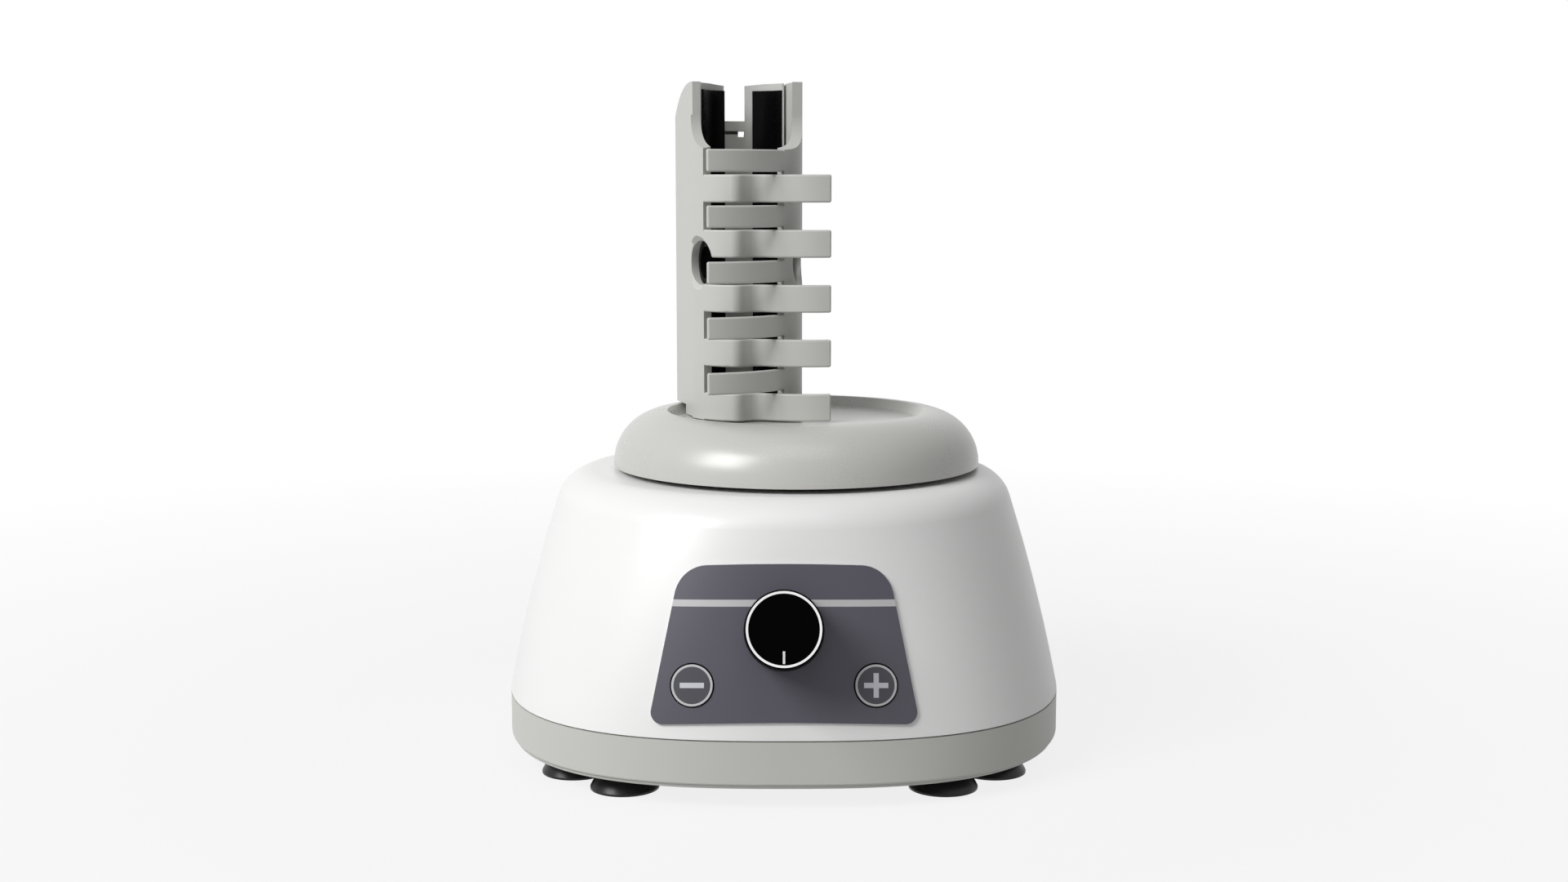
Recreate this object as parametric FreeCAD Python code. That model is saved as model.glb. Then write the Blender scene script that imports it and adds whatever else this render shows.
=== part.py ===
import FreeCAD, Part
import math
import os

V = FreeCAD.Vector
X_AXIS = V(1, 0, 0)
Y_AXIS = V(0, 1, 0)
Z_AXIS = V(0, 0, 1)

# Outline of the body: a rounded square at the seam that turns into a circle at the deck.
# Its axis stands AXIS_Y behind the origin, which is on the floor under the middle of the whole.
BASE_HALF = 55.0
BASE_POWER = 2.7
DECK_HALF = 44.2
DECK_POWER = 2.0
SIDE_BULGE = 0.8
OUTLINE_POINTS = 32
OUTLINE_LEVELS = 6
FOOT_H = 4.0
TRAY_H = 9.1
HOUSING_H = 41.9
DECK_EDGE_R = 5.0
WALL = 2.2
CORNERS = 4
AXIS_Y = 4.1

# Base tray and its eight suction feet, set in pairs at the corners
TRAY_WALL = 2.4
TRAY_FLOOR = 2.4
TRAY_EDGE_R = 0.4
TRAY_LIP_H = 0.7
TRAY_LIP_IN = 0.5
TRAY_LIP_R = 0.3
SEAM_GAP = 0.3
SEAM_DEPTH = 0.6
FOOT_CIRCLE_R = 50.0
FOOT_SPREAD = 8.3
FOOT_RIM_R = 6.5
FOOT_RIM_W = 0.8
FOOT_BELL_R = 5.6
FOOT_NECK_R = 3.9
FOOT_FLANGE_R = 4.3
FOOT_STEM_R = 2.4
FOOT_BULB_R = 3.1
FOOT_BULB_H = 1.8
FOOT_BELL_SHARE = 0.46
FOOT_FLANGE_SHARE = 0.15
FOOT_HOLLOW_SHARE = 0.48
FOOT_VAULT_SHARE = 0.30
FOOT_VAULT_R_SHARE = 0.62

# Screws that hold the case together
CASE_SCREW_CIRCLE_R = 48.5
CASE_SCREW_GRIP = 9.0
BOSS_R = 4.0
SCREW_R = 1.5
SCREW_HEAD_R = 2.7
SCREW_HEAD_H = 1.6
SCREW_PLAY = 0.2
HEX_KEY_R = 1.3
HEX_KEY_DEPTH = 0.9
HEX_SIDES = 6

# Ballast, pillars and motor
BALLAST_R = 40.0
BALLAST_T = 6.0
PILLAR_CIRCLE_R = 24.0
PILLAR_R = 3.5
PILLAR_H = 28.6
PILLAR_GRIP = 7.0
ISOLATOR_R = 5.0
ISOLATOR_T = 3.0
PLATE_R = 30.0
PLATE_T = 2.5
MOTOR_R = 18.5
MOTOR_L = 26.0
MOTOR_EDGE_R = 1.2
MOTOR_CAP_R = 17.0
MOTOR_CAP_T = 3.4
MOTOR_CAP_EDGE_R = 1.1
MOTOR_BOSS_R = 6.0
MOTOR_SCREW_CIRCLE_R = 11.0
MOTOR_SCREW_BITE = 5.0
SHAFT_R = 2.5
SHAFT_DEPTH = 20.0
RUN_FIT = 0.05

# Eccentric drive
ORBIT_R = 2.5
CRANK_R = 8.0
CRANK_H = 6.0
CRANK_GAP = 2.6
CRANK_ROOF = 0.8
SHAFT_END_GAP = 0.2
WEIGHT_R = 14.0
WEIGHT_T = 5.0
WEIGHT_LIFT = 0.6
WEIGHT_SPAN = 170.0
WEIGHT_HEAD_R = 2.0
WEIGHT_SCREW_GAP = 1.5
SHOULDER_R = 4.4
SHOULDER_H = 0.6
PIN_R = 3.0
BEARING_R = 8.5
BEARING_B = 6.0
RING_T = 1.9
BALL_R = 1.7
BALL_PLAY = 0.12
BALL_COUNT = 7
CLIP_T = 0.6
CLIP_R = 4.2
CLIP_BITE = 0.4
PIN_END = 0.4

# Head
HEAD_R = 37.05
HEAD_GAP = 1.0
HEAD_RIM_R = 26.2
HEAD_H = 10.8
DISH_DEPTH = 1.9
DISH_SLOPE = 1.6
HEAD_SHELL = 2.4
HEAD_LIP = 0.8
HUB_WALL = 2.1
HUB_FLANGE_R = 14.2
HUB_FLANGE_T = 1.3
HUB_LEDGE = 1.1
HUB_SCREW_CIRCLE_R = 12.4
HUB_SCREWS = 3
HUB_SCREW_TURN = 30.0
SMALL_SCREW_R = 1.0
SMALL_HEAD_R = 1.6
SMALL_HEAD_H = 1.4
HUB_SCREW_BITE = 0.8
DECK_HOLE_R = 15.0
COLLAR_T = 1.6
COLLAR_H = 3.0
POST_CIRCLE_R = 24.0
POST_R = 2.1
POST_TURN = -15.0

# Front panel: overlay, knob and two keys
PANEL_TILT_Z = 32.4
OVERLAY_T = 0.5
PANEL_LOW_Z = 16.4
PANEL_HIGH_Z = 44.1
PANEL_LOW_HALF = 24.6
PANEL_HIGH_HALF = 18.95
PANEL_LOW_R = 2.0
PANEL_HIGH_R = 6.5
PANEL_DROOP = 0.9
KNOB_R = 7.0
KNOB_SKIRT_R = 7.3
KNOB_H = 10.0
KNOB_GAP = 0.5
KNOB_EDGE_R = 0.3
KNOB_HOLLOW_R = 6.0
KNOB_HOLLOW_H = 3.6
KNOB_ROOF = 2.0
KNOB_RING_R = 6.7
KNOB_RING_W = 0.42
KNOB_RING_H = 0.5
KNOB_RING_PROUD = 0.1
POINTER_IN = 3.8
POINTER_OUT = 6.0
POINTER_W = 0.42
POINTER_T = 0.4
POT_SEAT = 3.6
POT_SEAT_R = 6.5
POT_SIDE = 16.0
POT_T = 7.0
POT_BUSH_R = 3.5
POT_NUT_R = 5.2
POT_NUT_T = 2.0
POT_SHAFT_R = 3.0
POT_SHAFT_DEEP = 3.0
KEY_X = 16.6
KEY_DOWN = 9.8
KEY_R = 3.8
KEY_PLAY = 0.25
KEY_PROUD = 0.3
KEY_FLANGE_R = 4.7
KEY_FLANGE_T = 0.9
KEY_FLANGE_Z = -5.6
KEY_STEM_R = 1.5
KEY_STEM_DIP = 0.3
SIGN_L = 4.4
SIGN_W = 0.95
SIGN_T = 0.3
SWITCH_SIDE = 6.0
SWITCH_T = 3.3
SWITCH_BORE_DEEP = 1.5
BOARD_HALF = 24.0
BOARD_UP = 10.5
BOARD_DOWN = 16.0
BOARD_T = 1.6
BOARD_POST_R = 2.5
BOARD_POST_X = 20.0
BOARD_POST_UP = 7.0
BOARD_FOOT_X = 10.0
BOARD_FOOT_DOWN = 13.0
BOARD_SCREW_BITE = 4.0

# Power inlet in the back wall
INLET_Z = 26.0
INLET_SEAT = 3.4
INLET_SEAT_R = 7.5
INLET_BUSH_R = 4.0
INLET_FLANGE_R = 5.6
INLET_FLANGE_T = 1.5
INLET_NUT_R = 6.0
INLET_NUT_T = 2.2
INLET_L = 13.0
INLET_BORE_R = 2.8
INLET_BORE_L = 9.5
INLET_PIN_R = 1.05
INLET_PIN_L = 9.0

# Tube clamp: a spine and two pinned jaws with crossing fingers
CLAMP_DX = -10.2
CLAMP_DY = 3.0
CLAMP_TURN = 17.0
CLAMP_R = 11.4
CLAMP_WALL = 2.0
CLAMP_BACK = 14.3
SIDE_STEP = 0.35
CLAMP_H = 67.6
CLAMP_PLATE_T = 1.0
PLATE_PLAY = 0.1
JAW_LIFT = 0.3
JAW_ROOM = 1.0
TUBE_R = 8.5
PAIRS = 5
BROAD_FINGER = 5.5
SLIM_FINGER = 4.35
FINGER_GAP = 0.5
FINGER_EDGE_R = 0.4
FINGER_T = 1.0
FINGER_OVERLAP = 12.0
VALLEY_R = 9.35
VALLEY_CURVE = 10.0
VALLEY_EDGE_R = 3.0
BEND_R = 2.4
LEFT_TIP_X = 13.2
RIGHT_TIP_X = 12.2
TIP_OUT = 15.4
FINGER_BOW = 20.0
LEFT_ROOT = 64.0
RIGHT_ROOT = 26.0
RIGHT_VALLEY = 24.0
SCOOP_R = 7.0
LEFT_SCOOP = 0.0
RIGHT_SCOOP = -3.6
REAR_CORNER_R = 8.0
REAR_SLOPE_L = 13.1
REAR_SLOPE_H = 6.6
REAR_SLOPE_BOW = 1.8
WINDOW_R = 4.4
WINDOW_UP = 31.4
LEFT_WINDOW_ANGLE = 75.0
RIGHT_WINDOW_ANGLE = 62.0
WINDOW_CHAMFER = 0.5
HINGE_X = 7.6
HINGE_BACK = 10.9
HINGE_PIN_R = 0.8
BARREL_R = 1.7
BARREL_PLAY = 0.3
WEB_FRONT = 9.9
LUG_DROP = 8.5
LUG_T = 3.0
LUG_BACK = 12.4
SPINE_HALF = 8.9
STRIP_HALF = 5.6
BEVEL_X = 2.0
BEVEL_Y = 2.2
SPINE_FRONT = 2.7
STRIP_FRONT = 8.6
GROOVE_R = 8.95
PAD_POCKET = 0.55
LEFT_PAD_FROM = 14.5
RIGHT_PAD_FROM = 25.0
PAD_TO = 72.0
PAD_FRAME = 1.4
PAD_LIFT = 3.0
NOTCH_HALF = 2.0
NOTCH_DEPTH = 7.5
NOTCH_WAIST = 8.0
NOTCH_FLARE = 0.3
SLIT_DROP = 2.0
SLIT_H = 0.7
SLIT_WALL = 0.9
PEEP_X = 2.4
PEEP_W = 1.3
PEEP_H = 1.2
LINER_T = 0.9
LINER_FROM = 70.0
LINER_BACK = 2.2
LINER_RIM = 1.2
LINER_LIFT = 1.0
SPRING_UP = 24.0
SPRING_H = 7.0
SPRING_T = 0.5
SPRING_LEG = 2.3
CLAMP_SCREW_X = 3.6
CLAMP_SCREW_BACK = 10.4
CLAMP_SCREW_GRIP = 7.0

# Heights that follow from the sizes above
tray_z = FOOT_H
tray_top = tray_z + TRAY_FLOOR
seam_z = tray_z + TRAY_H
deck_z = seam_z + HOUSING_H
shoulder_z = deck_z - DECK_EDGE_R
ballast_top = tray_top + BALLAST_T
pillar_top = ballast_top + PILLAR_H
plate_z = pillar_top + ISOLATOR_T
plate_top = plate_z + PLATE_T
crank_z = plate_top + CRANK_GAP
crank_top = crank_z + CRANK_H
bearing_z = crank_top + SHOULDER_H
bearing_top = bearing_z + BEARING_B
clip_top = bearing_top + CLIP_T
head_z = deck_z + HEAD_GAP
rim_z = head_z + HEAD_H
dish_z = rim_z - DISH_DEPTH
head_under = bearing_top + HUB_FLANGE_T
head_x = ORBIT_R
jaw_z = dish_z + JAW_LIFT
clamp_top = dish_z + CLAMP_H
finger_pitch = BROAD_FINGER + SLIM_FINGER + 2 * FINGER_GAP
finger_top = jaw_z + PAIRS * finger_pitch - FINGER_GAP
lug_top = clamp_top - LUG_DROP
lug_z = lug_top - LUG_T
window_z = jaw_z + WINDOW_UP
spring_z = jaw_z + SPRING_UP


def cylinder(radius, z0, z1, x=0.0, y=0.0):
    return Part.makeCylinder(radius, z1 - z0, V(x, y, z0))


def ring(inner, outer, z0, z1, x=0.0, y=0.0):
    return cylinder(outer, z0, z1, x, y).cut(cylinder(inner, z0, z1, x, y))


def box(x0, x1, y0, y1, z0, z1):
    return Part.makeBox(x1 - x0, y1 - y0, z1 - z0, V(x0, y0, z0))


def hexagon(radius, z0, z1, x=0.0, y=0.0):
    corners = []
    for k in range(HEX_SIDES + 1):
        dx, dy = on_circle(radius, 360.0 * k / HEX_SIDES)
        corners.append(V(x + dx, y + dy, z0))
    return Part.Face(Part.makePolygon(corners)).extrude(V(0, 0, z1 - z0))


def join(shapes):
    shapes = list(shapes)
    whole = shapes[0]
    for shape in shapes[1:]:
        whole = whole.fuse(shape)
    return whole.removeSplitter()


def cut_all(shape, tools):
    for tool in tools:
        shape = shape.cut(tool)
    return shape


def outline(start, steps):
    """Closed wire in a plane: a step is an end point, or a pair of a point on an arc and its end."""
    edges = []
    at = start
    for step in steps:
        if isinstance(step, tuple):
            edges.append(Part.Arc(at, step[0], step[1]).toShape())
            at = step[1]
        else:
            edges.append(Part.LineSegment(at, step).toShape())
            at = step
    if at.distanceToPoint(start) > 1e-6:
        edges.append(Part.LineSegment(at, start).toShape())
    return Part.Wire(edges)


def turned(start, steps):
    """Solid of revolution about the Z axis from a profile in the XZ plane."""
    return Part.Face(outline(start, steps)).revolve(V(0, 0, 0), Z_AXIS, 360)


def on_circle(radius, degrees):
    angle = math.radians(degrees)
    return radius * math.cos(angle), radius * math.sin(angle)


def screw(seat, length, x=0.0, y=0.0, shank=SCREW_R, head=SCREW_HEAD_R, head_h=SCREW_HEAD_H, up=True):
    """Socket screw whose head rests at height seat, with its shank upwards or downwards."""
    body = cylinder(shank, 0, length).fuse(cylinder(head, -head_h, 0))
    body = body.cut(hexagon(head * HEX_KEY_R / SCREW_HEAD_R, -head_h, HEX_KEY_DEPTH - head_h))
    if not up:
        body.rotate(V(0, 0, 0), X_AXIS, 180)
    body.translate(V(x, y, seat))
    return body


def small_screw(seat, length, x, y):
    return screw(seat, length, x, y, SMALL_SCREW_R, SMALL_HEAD_R, SMALL_HEAD_H)


def half_width(z):
    t = (deck_z - z) / HOUSING_H
    return DECK_HALF + (BASE_HALF - DECK_HALF) * t + 4 * SIDE_BULGE * t * (1 - t)


def squareness(z):
    t = (deck_z - z) / HOUSING_H
    return DECK_POWER + (BASE_POWER - DECK_POWER) * t


def squircle(half, power, z):
    """Superellipse |x|^p + |y|^p = half^p as one closed spline at height z."""
    points = []
    for k in range(OUTLINE_POINTS):
        angle = 2 * math.pi * k / OUTLINE_POINTS
        c = math.cos(angle)
        s = math.sin(angle)
        reach = half / (abs(c) ** power + abs(s) ** power) ** (1 / power)
        points.append(V(reach * c, reach * s, z))
    curve = Part.BSplineCurve()
    curve.interpolate(Points=points, PeriodicFlag=True)
    return Part.Wire([curve.toShape()])


def squircle_prism(half, power, z0, z1):
    return Part.Face(squircle(half, power, z0)).extrude(V(0, 0, z1 - z0))


def flank_form(inset):
    """The case's side from the seam to where the shoulder starts, drawn in by inset."""
    wires = []
    for k in range(OUTLINE_LEVELS + 1):
        z = seam_z + (shoulder_z - seam_z) * k / OUTLINE_LEVELS
        wires.append(squircle(half_width(z) - inset, squareness(z), z))
    return Part.makeLoft(wires, True, False)


def body_form(inset):
    """The flank with the round shoulder that leads over to the deck."""
    round_r = DECK_EDGE_R - inset
    wires = []
    for k in range(OUTLINE_LEVELS + 1):
        angle = math.pi / 2 * k / OUTLINE_LEVELS
        z = shoulder_z + round_r * math.sin(angle)
        drawn_in = inset + round_r * (1 - math.cos(angle))
        wires.append(squircle(half_width(z) - drawn_in, squareness(z), z))
    return flank_form(inset).fuse(Part.makeLoft(wires, True, False))


def edges_at(shape, z):
    return [e for e in shape.Edges if abs(e.BoundBox.ZMin - z) < 1e-4 and abs(e.BoundBox.ZMax - z) < 1e-4]


def wall_place(z, front):
    """Frame on the case's outer surface at height z: local z points out of the wall."""
    step = 0.01
    slope = (half_width(z + step) - half_width(z - step)) / (2 * step)
    tilt = math.degrees(math.atan(-slope))
    side = -1 if front else 1
    return FreeCAD.Placement(V(0, side * half_width(z), z), FreeCAD.Rotation(X_AXIS, -side * (90 - tilt)))


panel = wall_place(PANEL_TILT_Z, True)
inlet_wall = wall_place(INLET_Z, False)
clamp = FreeCAD.Placement(V(head_x + CLAMP_DX, CLAMP_DY, 0), FreeCAD.Rotation(Z_AXIS, CLAMP_TURN))
board_z = -POT_SEAT - POT_T


def put(shape, place):
    moved = shape.copy()
    moved.Placement = place.multiply(moved.Placement)
    return moved


outer_form = body_form(0)
mid_wall_form = body_form(WALL / 2)
corner_turns = [360.0 * (k + 0.5) / CORNERS for k in range(CORNERS)]
foot_turns = [turn + side * FOOT_SPREAD for turn in corner_turns for side in (-1, 1)]
foot_places = [on_circle(FOOT_CIRCLE_R, turn) for turn in foot_turns]
case_screw_places = [on_circle(CASE_SCREW_CIRCLE_R, turn) for turn in corner_turns]
pillar_places = [on_circle(PILLAR_CIRCLE_R, turn) for turn in corner_turns]
motor_screw_xs = (-MOTOR_SCREW_CIRCLE_R, MOTOR_SCREW_CIRCLE_R)
clamp_screw_xs = (-CLAMP_SCREW_X, CLAMP_SCREW_X)
key_sides = {"minus": -1, "plus": 1}
board_posts = [(s * BOARD_POST_X, BOARD_POST_UP) for s in (-1, 1)]
board_posts += [(s * BOARD_FOOT_X, -BOARD_FOOT_DOWN) for s in (-1, 1)]


def base_tray():
    edge_z = tray_z + TRAY_LIP_H
    wall = squircle_prism(BASE_HALF, BASE_POWER, edge_z, seam_z)
    lip = squircle_prism(BASE_HALF - TRAY_LIP_IN, BASE_POWER, tray_z, edge_z)
    tray = join([wall.makeFillet(TRAY_EDGE_R, edges_at(wall, edge_z)),
                 lip.makeFillet(TRAY_LIP_R, edges_at(lip, tray_z))])
    tray = tray.cut(squircle_prism(BASE_HALF - TRAY_WALL, BASE_POWER, tray_top, seam_z))
    rim = squircle_prism(BASE_HALF + SEAM_DEPTH, BASE_POWER, seam_z - SEAM_GAP, seam_z)
    tray = tray.cut(rim.cut(squircle_prism(BASE_HALF - SEAM_DEPTH, BASE_POWER, seam_z - SEAM_GAP, seam_z)))
    tray = join([tray] + [cylinder(BOSS_R, tray_z, seam_z, x, y) for x, y in case_screw_places])
    tools = [cylinder(FOOT_STEM_R, tray_z, tray_top, x, y) for x, y in foot_places]
    for x, y in case_screw_places:
        tools.append(cylinder(SCREW_HEAD_R + SCREW_PLAY, tray_z, tray_z + 2 * SCREW_HEAD_H, x, y))
        tools.append(cylinder(SCREW_R + SCREW_PLAY, tray_z, seam_z, x, y))
    for x, y in pillar_places:
        tools.append(cylinder(SCREW_HEAD_R + SCREW_PLAY, tray_z, tray_z + SCREW_HEAD_H, x, y))
        tools.append(cylinder(SCREW_R + SCREW_PLAY, tray_z, tray_top, x, y))
    return cut_all(tray, tools)


def suction_foot():
    """Bell with a thin rim, a flange under the tray and a plug that snaps through its floor."""
    flange_z = FOOT_H * (1 - FOOT_FLANGE_SHARE)
    bulb_top = tray_top + FOOT_BULB_H
    bell = V(FOOT_BELL_R, 0, FOOT_H * FOOT_BELL_SHARE)
    hollow_r = FOOT_RIM_R - FOOT_RIM_W
    vault = V(hollow_r * FOOT_VAULT_R_SHARE, 0, FOOT_H * FOOT_VAULT_SHARE)
    return turned(V(FOOT_RIM_R, 0, 0), [
        V(FOOT_RIM_R, 0, FOOT_RIM_W / 2),
        (bell, V(FOOT_NECK_R, 0, flange_z)),
        V(FOOT_FLANGE_R, 0, flange_z), V(FOOT_FLANGE_R, 0, FOOT_H),
        V(FOOT_STEM_R, 0, FOOT_H), V(FOOT_STEM_R, 0, tray_top),
        V(FOOT_BULB_R, 0, tray_top), V(FOOT_STEM_R, 0, bulb_top),
        V(0, 0, bulb_top), V(0, 0, FOOT_H * FOOT_HOLLOW_SHARE),
        (vault, V(hollow_r, 0, 0))])


def suction_feet():
    cups = []
    for x, y in foot_places:
        cup = suction_foot()
        cup.translate(V(x, y, 0))
        cups.append(cup)
    return Part.makeCompound(cups)


def ballast_plate():
    plate = cylinder(BALLAST_R, tray_top, ballast_top)
    return cut_all(plate, [cylinder(SCREW_R + SCREW_PLAY, tray_top, ballast_top, x, y)
                           for x, y in pillar_places])


def pillars():
    whole = []
    for x, y in pillar_places:
        post = cylinder(PILLAR_R, ballast_top, pillar_top, x, y)
        post = post.cut(cylinder(SCREW_R, ballast_top, ballast_top + PILLAR_GRIP, x, y))
        whole.append(post.cut(cylinder(SCREW_R, pillar_top - PILLAR_GRIP, pillar_top, x, y)))
    return Part.makeCompound(whole)


def isolators():
    return Part.makeCompound([ring(SCREW_R + SCREW_PLAY, ISOLATOR_R, pillar_top, plate_z, x, y)
                              for x, y in pillar_places])


def motor_plate():
    plate = cylinder(PLATE_R, plate_z, plate_top)
    tools = [cylinder(SCREW_R + SCREW_PLAY, plate_z, plate_top, x, y) for x, y in pillar_places]
    tools += [cylinder(SCREW_R + SCREW_PLAY, plate_z, plate_top, x) for x in motor_screw_xs]
    tools.append(cylinder(MOTOR_BOSS_R, plate_z, plate_top))
    return cut_all(plate, tools)


def ballast_screws():
    length = TRAY_FLOOR - SCREW_HEAD_H + BALLAST_T + PILLAR_GRIP
    return Part.makeCompound([screw(tray_z + SCREW_HEAD_H, length, x, y) for x, y in pillar_places])


def plate_screws():
    length = PLATE_T + ISOLATOR_T + PILLAR_GRIP
    return Part.makeCompound([screw(plate_top, length, x, y, up=False) for x, y in pillar_places])


def motor_can():
    can = cylinder(MOTOR_R, plate_z - MOTOR_L, plate_z)
    can = can.makeFillet(MOTOR_EDGE_R, edges_at(can, plate_z - MOTOR_L))
    can = can.fuse(cylinder(MOTOR_BOSS_R, plate_z, plate_top))
    can = can.cut(cylinder(SHAFT_R + RUN_FIT, plate_z - SHAFT_DEPTH - PLATE_T, plate_top))
    return cut_all(can, [cylinder(SCREW_R, plate_z - MOTOR_SCREW_BITE, plate_z, x) for x in motor_screw_xs])


def motor_end_cap():
    low = plate_z - MOTOR_L
    cap = cylinder(MOTOR_CAP_R, low - MOTOR_CAP_T, low)
    return cap.makeFillet(MOTOR_CAP_EDGE_R, edges_at(cap, low - MOTOR_CAP_T))


def motor_screws():
    length = PLATE_T + MOTOR_SCREW_BITE
    return Part.makeCompound([screw(plate_top, length, x, up=False) for x in motor_screw_xs])


def motor_shaft():
    return cylinder(SHAFT_R, plate_z - SHAFT_DEPTH, crank_top - CRANK_ROOF - SHAFT_END_GAP)


def eccentric():
    """Drum on the motor shaft with a crank pin off its axis, grooved at the end for a clip."""
    drum = cylinder(CRANK_R, crank_z, crank_top)
    pin_top = clip_top + PIN_END
    pin = cylinder(SHOULDER_R, crank_top, bearing_z, head_x)
    pin = pin.fuse(cylinder(PIN_R, bearing_z, pin_top, head_x))
    pin = pin.cut(ring(PIN_R - CLIP_BITE, PIN_R + CLIP_BITE, bearing_top, clip_top, head_x))
    body = join([drum, pin]).cut(cylinder(SHAFT_R, crank_z, crank_top - CRANK_ROOF))
    return body.cut(grub_bore()).cut(weight_bore())


def grub_bore():
    bore = cylinder(SCREW_R, SHAFT_R, CRANK_R)
    bore.rotate(V(0, 0, 0), X_AXIS, -90)
    bore.translate(V(0, 0, crank_z + CRANK_H / 2))
    return bore


def grub_screw():
    body = cylinder(SCREW_R, SHAFT_R, CRANK_R - HEX_KEY_DEPTH / 2)
    body = body.cut(hexagon(HEX_KEY_R / 2, CRANK_R - 2 * HEX_KEY_DEPTH, CRANK_R))
    body.rotate(V(0, 0, 0), X_AXIS, -90)
    body.translate(V(0, 0, crank_z + CRANK_H / 2))
    return body


def counterweight():
    """Brass half ring bolted to the drum on the side away from the crank pin."""
    low = crank_z + WEIGHT_LIFT
    a = (180 - WEIGHT_SPAN / 2, 180, 180 + WEIGHT_SPAN / 2)
    out = [V(*on_circle(WEIGHT_R, d), low) for d in a]
    ins = [V(*on_circle(CRANK_R, d), low) for d in a]
    wire = outline(out[0], [(out[1], out[2]), ins[2], (ins[1], ins[0])])
    return Part.Face(wire).extrude(V(0, 0, WEIGHT_T)).cut(weight_bore())


def through_weight(body):
    """Lay an upright piece along X, with its zero at the seat of the screw's head in the counterweight."""
    body.rotate(V(0, 0, 0), Y_AXIS, 90)
    body.translate(V(SCREW_HEAD_H - WEIGHT_R, 0, crank_z + WEIGHT_LIFT + WEIGHT_T / 2))
    return body


weight_screw_l = WEIGHT_R - SCREW_HEAD_H - SHAFT_R - WEIGHT_SCREW_GAP


def weight_bore():
    bore = cylinder(WEIGHT_HEAD_R, -2 * SCREW_HEAD_H, 0).fuse(cylinder(SCREW_R, 0, weight_screw_l))
    return through_weight(bore)


def weight_screw():
    return through_weight(screw(0, weight_screw_l, head=WEIGHT_HEAD_R))


def ball_race(play):
    """Torus that the balls run in, about the crank pin."""
    middle = (PIN_R + BEARING_R) / 2
    return Part.makeTorus(middle, BALL_R + play, V(head_x, 0, bearing_z + BEARING_B / 2))


def bearing_inner_ring():
    return ring(PIN_R, PIN_R + RING_T, bearing_z, bearing_top, head_x).cut(ball_race(BALL_PLAY))


def bearing_outer_ring():
    return ring(BEARING_R - RING_T, BEARING_R, bearing_z, bearing_top, head_x).cut(ball_race(BALL_PLAY))


def bearing_balls():
    middle = (PIN_R + BEARING_R) / 2
    balls = []
    for k in range(BALL_COUNT):
        x, y = on_circle(middle, 360.0 * k / BALL_COUNT)
        balls.append(Part.makeSphere(BALL_R, V(head_x + x, y, bearing_z + BEARING_B / 2)))
    return Part.makeCompound(balls)


def bearing_clip():
    clip = ring(PIN_R - CLIP_BITE, CLIP_R, bearing_top, clip_top, head_x)
    gap = PIN_R - 2 * CLIP_BITE
    return clip.cut(box(head_x, head_x + 2 * CLIP_R, -gap, gap, bearing_top, clip_top))


def head_hub():
    sleeve = ring(BEARING_R, BEARING_R + HUB_WALL, bearing_z + WEIGHT_LIFT, bearing_top, head_x)
    flange = ring(BEARING_R - HUB_LEDGE, HUB_FLANGE_R, bearing_top, head_under, head_x)
    hub = join([sleeve, flange])
    return cut_all(hub, [cylinder(SMALL_SCREW_R, bearing_top, head_under, head_x + x, y)
                         for x, y in hub_screw_places])


hub_screw_places = [on_circle(HUB_SCREW_CIRCLE_R, HUB_SCREW_TURN + 360.0 * k / HUB_SCREWS)
                    for k in range(HUB_SCREWS)]


def hub_screws():
    length = HUB_FLANGE_T + HUB_SCREW_BITE
    return Part.makeCompound([small_screw(bearing_top, length, head_x + x, y) for x, y in hub_screw_places])


def head_dome():
    """Shallow cap with a quarter-round shoulder, a thin lip below and a dished top."""
    round_r = HEAD_R - HEAD_RIM_R
    round_h = HEAD_H - HEAD_LIP
    shoulder = V(HEAD_RIM_R + round_r * math.sqrt(0.5), 0, head_z + HEAD_LIP + round_h * math.sqrt(0.5))
    inner_r = round_r - HEAD_SHELL
    inner_h = head_under - head_z - HEAD_LIP
    inner = V(HEAD_RIM_R + inner_r * math.sqrt(0.5), 0, head_z + HEAD_LIP + inner_h * math.sqrt(0.5))
    dome = turned(V(HEAD_R, 0, head_z), [
        V(HEAD_R, 0, head_z + HEAD_LIP),
        (shoulder, V(HEAD_RIM_R, 0, rim_z)),
        V(HEAD_RIM_R - DISH_SLOPE, 0, dish_z), V(0, 0, dish_z), V(0, 0, head_under),
        V(HEAD_RIM_R, 0, head_under),
        (inner, V(HEAD_R - HEAD_SHELL, 0, head_z + HEAD_LIP)),
        V(HEAD_R - HEAD_SHELL, 0, head_z)])
    dome.translate(V(head_x, 0, 0))
    tools = [cylinder(SMALL_SCREW_R, head_under, head_under + HUB_SCREW_BITE, head_x + x, y)
             for x, y in hub_screw_places]
    tools.append(clamp_plate(PLATE_PLAY))
    tools += [put(cylinder(SMALL_SCREW_R, head_under, dish_z, x, CLAMP_SCREW_BACK), clamp)
              for x in clamp_screw_xs]
    return cut_all(dome, tools)


def restraint_posts():
    """Rubber posts from the deck to the head that keep it from turning; they lean by the crank's throw."""
    posts = []
    for turn in corner_turns:
        x, y = on_circle(POST_CIRCLE_R, turn + POST_TURN)
        low = Part.Wire([Part.makeCircle(POST_R, V(x, y, deck_z))])
        high = Part.Wire([Part.makeCircle(POST_R, V(x + ORBIT_R, y, head_under))])
        posts.append(Part.makeLoft([low, high], True, True))
    return Part.makeCompound(posts)


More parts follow.
